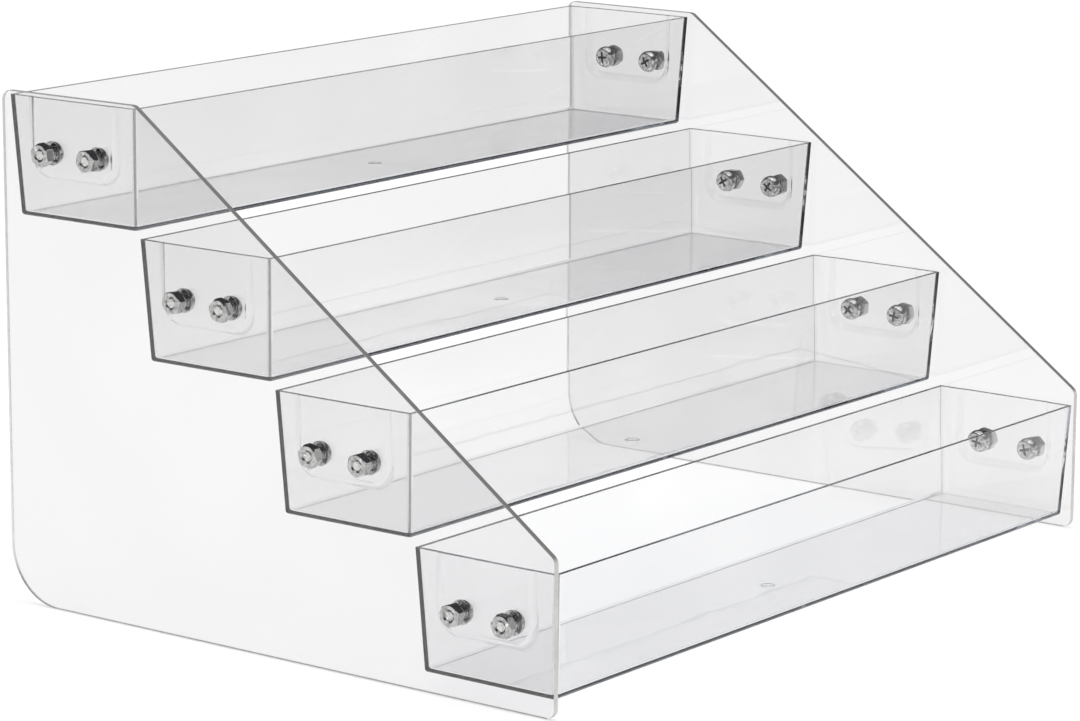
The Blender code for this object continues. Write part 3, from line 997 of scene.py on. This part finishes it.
@dataclass
class Nut:
    """A hex nut round Z, standing on height 0."""

    width: float = 7 * MM
    height: float = 3.2 * MM
    face_radius: float = 3.3 * MM
    chamfer: float = math.radians(30)
    corner: float = 0.3 * MM
    mouth: float = 2.2 * MM
    clearance: float = 0.04 * MM
    seat: float = 4.1 * MM  # from the screw head's seat to the nut, so that their threads mesh
    least_drop: float = 0.02 * MM
    corner_turn: float = math.radians(16)
    flat_steps: int = 8
    sharp: float = math.radians(24)
    thread: Thread = field(default_factory=Thread)
    materials: Materials = ()

    def outline(self) -> list[Flat]:
        """Return the hexagon with slightly rounded corners and points along its flats."""
        far = self.width / math.sqrt(3)
        rounded = rounded_outline([(*p, self.corner) for p in circle(far, 6)], self.corner_turn)
        points = []
        for start, end in zip(rounded, rounded[1:] + rounded[:1]):
            points.append(start)
            if math.dist(start, end) > self.width / 4:
                for step in range(1, self.flat_steps):
                    points.append(tuple(a + (b - a) * step / self.flat_steps for a, b in zip(start, end)))
        return points

    def bore(self, angle: float, height: float) -> float:
        """Return the radius of the threaded bore, with its two countersunk mouths."""
        deep = min(height, self.height - height)
        return max(self.thread.radius(angle, height + self.seat) + self.clearance, self.mouth - deep)

    def build(self) -> bpy.types.Mesh:
        """Build the nut and return its mesh."""
        maker = MeshMaker()
        outline = self.outline()
        angles = [math.atan2(y, x) for x, y in outline]
        slope = math.tan(self.chamfer)
        drops = [max(self.least_drop, (math.hypot(*p) - self.face_radius) * slope) for p in outline]
        face = [self.face_radius] * len(angles)
        rings = [maker.turned(angles, face, 0.0)]
        rings.append(maker.ring((*p, drop) for p, drop in zip(outline, drops)))
        rings.append(maker.ring((*p, self.height - drop) for p, drop in zip(outline, drops)))
        rings.append(maker.turned(angles, face, self.height))
        for height in reversed(self.thread.rows(0.0, self.height)):
            rings.append(maker.turned(angles, [self.bore(angle, height) for angle in angles], height))
        maker.bridge_all(rings + rings[:1])
        return polished(dressed(maker.mesh("nut"), self.materials), self.sharp)


@dataclass
class Riser:
    """The whole riser: panels, trays and fasteners in their places."""

    tiers: int = 4
    first_rim: Flat = (-85.5 * MM, 45 * MM)
    step: Flat = (56.5 * MM, 41.7 * MM)
    screw_offset: float = 10 * MM
    screw_drop: float = 18 * MM
    head_seat: float = 149.5 * MM
    nut_seat: float = 153.6 * MM
    panel_middle: float = 152.3 * MM
    clocking: float = math.radians(25)

    def rim(self, tier: int) -> Flat:
        """Return (Y, Z) of a tier's rim centre."""
        return (self.first_rim[0] + tier * self.step[0], self.first_rim[1] + tier * self.step[1])

    def holes(self, origin: Flat) -> list[Flat]:
        """Return (Y, Z) of the two screws of a tray end whose rim centre is given."""
        return [(origin[0] + row.value * self.screw_offset, origin[1] - self.screw_drop) for row in Row]

    def build(self) -> None:
        """Build every piece, dress it and stand it in its place."""
        clear = clear_surface_group()
        plated = plated_surface_group()
        sheet = (SHEET.material(clear), SHEET_EDGE.material(clear))
        all_holes = [hole for tier in range(self.tiers) for hole in self.holes(self.rim(tier))]
        panel = SidePanel(materials=sheet).build(all_holes)
        tray = Tray(materials=(MOULDING.material(clear),)).build(self.holes((0.0, 0.0)))
        screw = Screw(materials=(SCREW_PLATE.material(plated), RECESS_SHADE.material(plated))).build()
        nut = Nut(materials=(NUT_PLATE.material(plated),)).build()
        self.set_panels(panel)
        for tier in range(self.tiers):
            self.set_tier(tier, tray, screw, nut)

    def set_panels(self, mesh: bpy.types.Mesh) -> None:
        """Stand the two panels at the tray ends."""
        for side in Side:
            label = side.name.lower()
            place = Matrix.Translation((side.value * self.panel_middle, 0.0, 0.0))
            set_piece(f"clear_panel_{label}", mesh, place, f"side_panel_{label}")

    def set_tier(self, tier: int, tray: bpy.types.Mesh, screw: bpy.types.Mesh, nut: bpy.types.Mesh) -> None:
        """Place one tray with its eight fasteners.

        Args:
            tier: number of the tier, from 0 at the front.
            tray: mesh of a tray.
            screw: mesh of a screw.
            nut: mesh of a nut.
        """
        y, z = self.rim(tier)
        place = Matrix.Translation((0.0, y, z))
        set_piece(f"clear_tray_{tier + 1}", tray, place, f"tray_{tier + 1}")
        turn = tier * self.clocking
        for side in Side:
            for row, hole in zip(Row, self.holes((y, z))):
                turn += self.clocking
                label = f"{tier + 1}_{side.name.lower()}_{row.name.lower()}"
                pose = Matrix.Rotation(side.value * math.pi / 2, 4, "Y") @ Matrix.Rotation(turn, 4, "Z")
                head = Matrix.Translation((side.value * self.head_seat, *hole)) @ pose
                set_piece(f"pan_screw_{label}", screw, head, f"screw_{label}")
                seat = Matrix.Translation((side.value * self.nut_seat, *hole)) @ pose
                set_piece(f"hex_nut_{label}", nut, seat, f"nut_{label}")


# ----- Studio -----


@dataclass
class Studio:
    """The plain white studio: floor, soft light and the camera."""

    floor_radius: float = 8.0
    floor_steps: int = 96
    floor_drop: float = 0.2 * MM
    floor_rough: float = 0.9
    floor_fade: Flat = (0.25, 0.6)
    floor_turn: Flat = (-0.1, 0.25)
    floor_near: Colour = (0.97, 0.97, 0.97)
    floor_left: Colour = (0.93, 0.93, 0.93)
    floor_front: Colour = (0.30, 0.30, 0.305)
    haze_mirrored: Colour = (0.84, 0.84, 0.845)
    room_mirrored: Colour = (0.07, 0.07, 0.075)
    trapped: Colour = (0.035, 0.037, 0.046)
    haze_edge: Flat = (0.26, 0.38)
    box_edge: Flat = (0.72, 0.82)
    trapped_depth: Flat = (1.0, 3.5)  # reflections after which light counts as trapped
    lamp_power: float = 4.0
    lamp_size: Flat = (1.6, 1.2)
    lamp_place: Point = (-0.3, -0.2, 1.9)
    bounces: int = 48
    mirror_bounces: int = 24
    clear_bounces: int = 64
    lens: float = 140.638
    sensor: float = 36.0
    clip: Flat = (0.01, 100.0)
    eye: Point = (-1.12717, -0.85381, 0.36824)
    right: Point = (0.608944, -0.793201, 0.004331)
    down: Point = (-0.160535, -0.128586, -0.978618)
    ahead: Point = (0.776798, 0.595229, -0.205639)

    def build(self) -> None:
        """Set up the camera, the floor, the light and the view."""
        self.set_camera()
        self.set_floor()
        self.set_world()
        self.set_lamps()
        scene = bpy.context.scene
        scene.view_settings.view_transform = "Standard"
        scene.cycles.max_bounces = self.bounces
        scene.cycles.transmission_bounces = self.bounces
        scene.cycles.glossy_bounces = self.mirror_bounces
        scene.cycles.transparent_max_bounces = self.clear_bounces

    def shades(self, desk: NodeDesk, mirrored: object, trapped: object) -> bpy.types.NodeSocket:
        """Choose a colour by how often the light was reflected on its way to the eye.

        Args:
            desk: the tree to work in.
            mirrored: what one reflection shows.
            trapped: what light shows that was reflected again and again inside the plastic.

        Returns:
            White for light that was never reflected, or else one of the two.
        """
        depth = desk.add("ShaderNodeLightPath").outputs["Glossy Depth"]
        first = desk.maths("MINIMUM", depth, 1.0)
        more = desk.ramp(depth, *self.trapped_depth)
        return desk.blend(first, opaque(WHITE), desk.blend(more, mirrored, trapped))

    def set_camera(self) -> None:
        """Place the camera where the photograph was taken from."""
        data = bpy.data.cameras.new("camera")
        data.lens = self.lens
        data.sensor_width = self.sensor
        data.sensor_fit = "HORIZONTAL"
        data.clip_start, data.clip_end = self.clip
        camera = put("camera", data)
        axes = Matrix((self.right, [-d for d in self.down], [-a for a in self.ahead])).transposed()
        camera.matrix_world = Matrix.Translation(self.eye) @ axes.to_4x4()
        bpy.context.scene.camera = camera

    def set_floor(self) -> None:
        """Lay the white floor, which reads darker in a mirror than to the eye, as a dim room would."""
        maker = MeshMaker()
        maker.cap(maker.ring((*p, -self.floor_drop) for p in circle(self.floor_radius, self.floor_steps)))
        floor = put("studio_floor", maker.mesh("studio_floor"))
        material = bpy.data.materials.new("white_floor")
        material.use_nodes = True
        desk = NodeDesk(material.node_tree)
        shader = material.node_tree.nodes["Principled BSDF"]
        spot = desk.add("ShaderNodeNewGeometry").outputs["Position"]
        away = desk.add("ShaderNodeVectorMath", {0: spot}, operation="LENGTH").outputs["Value"]
        far = desk.ramp(away, *self.floor_fade)
        front = desk.ramp(desk.add("ShaderNodeSeparateXYZ", {0: spot}).outputs["X"], *self.floor_turn)
        near = opaque(self.floor_near)
        mirrored = desk.blend(front, opaque(self.floor_left), opaque(self.floor_front))
        mirrored = desk.blend(far, near, mirrored)
        trapped = desk.blend(far, near, opaque(self.trapped))
        colour = self.shades(desk, mirrored, trapped)
        desk.tree.links.new(colour, shader.inputs["Base Color"])
        shader.inputs["Roughness"].default_value = self.floor_rough
        shader.inputs["Specular IOR Level"].default_value = 0.0
        floor.data.materials.append(material)

    def set_world(self) -> None:
        """Light the room: white to the eye and through clear plastic, dim with soft boxes in a mirror."""
        world = bpy.data.worlds.new("studio")
        bpy.context.scene.world = world
        world.use_nodes = True
        desk = NodeDesk(world.node_tree)
        background = world.node_tree.nodes["Background"]
        look = desk.add("ShaderNodeTexCoord").outputs["Generated"]
        height = desk.add("ShaderNodeSeparateXYZ", {0: look}).outputs["Z"]
        box = desk.ramp(height, *self.box_edge)
        white = opaque(WHITE)
        low = desk.ramp(height, *self.haze_edge)
        dim = desk.blend(low, opaque(self.haze_mirrored), opaque(self.room_mirrored))
        mirrored = desk.blend(box, dim, white)
        trapped = desk.blend(box, opaque(self.trapped), white)
        ray = desk.add("ShaderNodeLightPath")
        seen = desk.maths("MAXIMUM", ray.outputs["Is Camera Ray"], ray.outputs["Is Glossy Ray"])
        seen = desk.maths("MAXIMUM", seen, ray.outputs["Is Transmission Ray"])
        colour = desk.blend(seen, white, self.shades(desk, mirrored, trapped))
        desk.tree.links.new(colour, background.inputs["Color"])

    def set_lamps(self) -> None:
        """Hang one large soft box above."""
        data = bpy.data.lights.new("soft_box", "AREA")
        data.shape = "RECTANGLE"
        data.size, data.size_y = self.lamp_size
        data.energy = self.lamp_power
        put("soft_box", data).location = self.lamp_place


def main() -> None:
    """Build the studio and the riser."""
    logging.basicConfig(level=logging.INFO, format="%(name)s: %(message)s")
    Studio().build()
    Riser().build()


if __name__ == "__main__":
    main()
